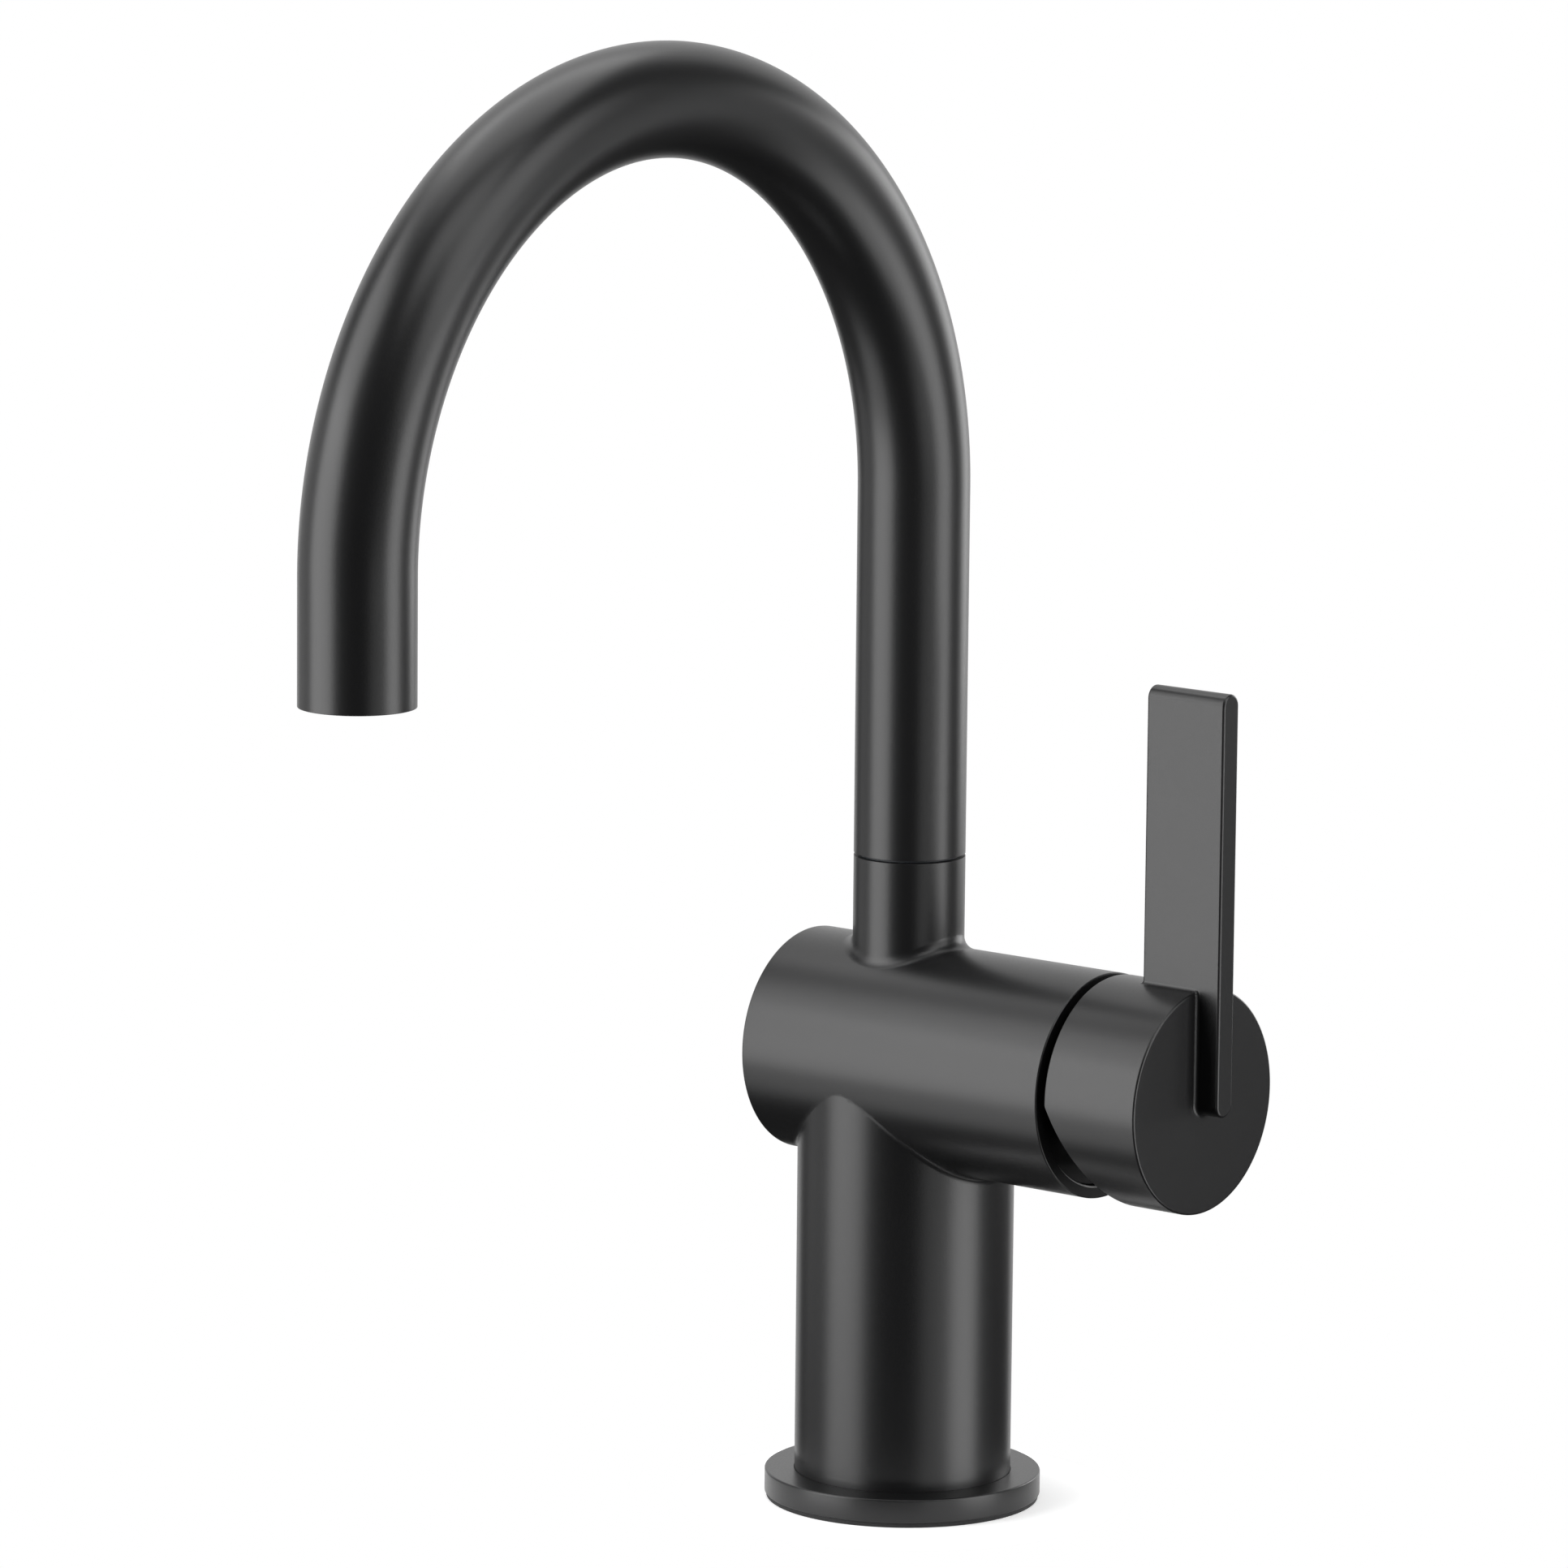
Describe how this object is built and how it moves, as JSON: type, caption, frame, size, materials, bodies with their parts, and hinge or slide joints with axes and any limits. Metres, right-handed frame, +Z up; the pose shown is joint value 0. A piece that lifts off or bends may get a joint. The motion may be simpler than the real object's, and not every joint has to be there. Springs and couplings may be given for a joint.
{
  "type": "gooseneck bar faucet",
  "caption": "Bar faucet with a cast column, a crosswise valve barrel, a tall hooped swivel spout and a blade lever on a side hub.",
  "frame": {"origin": "on the column axis, in the plane of the deck that the base gasket stands on", "axes": "+Z up along the column; -Y towards the user, the way the spout reaches; +X along the valve barrel towards the handle"},
  "size_m": [0.115, 0.2192, 0.3214],
  "materials": {
    "black_coat": "satin matte black coating over cast brass and bent brass tube",
    "gasket_rubber": "moulded EPDM",
    "white_acetal": "moulded acetal",
    "grey_nylon": "moulded glass-filled nylon",
    "red_nylon": "moulded nylon",
    "alumina": "lapped alumina",
    "raw_brass": "turned brass",
    "stainless": "stainless steel"
  },
  "bodies": {
    "faucet_body": {"base_plate": "black_coat", "base_gasket": "gasket_rubber", "body_casting": "black_coat", "chamber_cap": "black_coat", "cartridge_base": "white_acetal", "port_seals": "gasket_rubber", "fixed_disc": "alumina", "cartridge_shell": "white_acetal", "rotor_seal": "gasket_rubber", "temperature_ring": "red_nylon", "cartridge_nut": "raw_brass", "trim_collar": "black_coat", "neck_bearing": "grey_nylon", "spout_set_screw": "stainless"},
    "spout": {"spout_tube": "black_coat", "swivel_stem": "raw_brass", "stem_seals": "gasket_rubber", "guide_ring": "white_acetal", "outlet_bush": "raw_brass", "aerator_seal": "gasket_rubber", "aerator_housing": "grey_nylon", "aerator_insert": "white_acetal", "outlet_screens": "stainless"},
    "rotor": {"rotor_sleeve": "grey_nylon", "tilt_pin": "stainless"},
    "mixing_disc": {"disc_carrier": "grey_nylon", "moving_disc": "alumina"},
    "handle": {"cartridge_stem": "raw_brass", "handle_casting": "black_coat", "handle_set_screw": "stainless"}
  },
  "joints": [
    {"name": "spout_swivel", "type": "hinge", "parent": "faucet_body", "child": "spout", "pos_m": [0, 0, 0.141], "axis": [0, 0, 1], "continuous": true},
    {"name": "handle_temperature", "type": "hinge", "parent": "faucet_body", "child": "rotor", "pos_m": [0.0455, 0, 0.0979], "axis": [1, 0, 0], "range_deg": [-45, 45]},
    {"name": "handle_flow", "type": "hinge", "parent": "rotor", "child": "handle", "pos_m": [0.0455, 0, 0.0979], "axis": [0, 1, 0], "range_deg": [0, 22]},
    {"name": "disc_slide", "type": "slide", "parent": "rotor", "child": "mixing_disc", "axis": [0, 0, 1], "range_m": [0, 0.00275]}
  ],
  "couplings": [
    {"joint": "disc_slide", "follows": "handle_flow", "m_per_rad": 0.007}
  ]
}
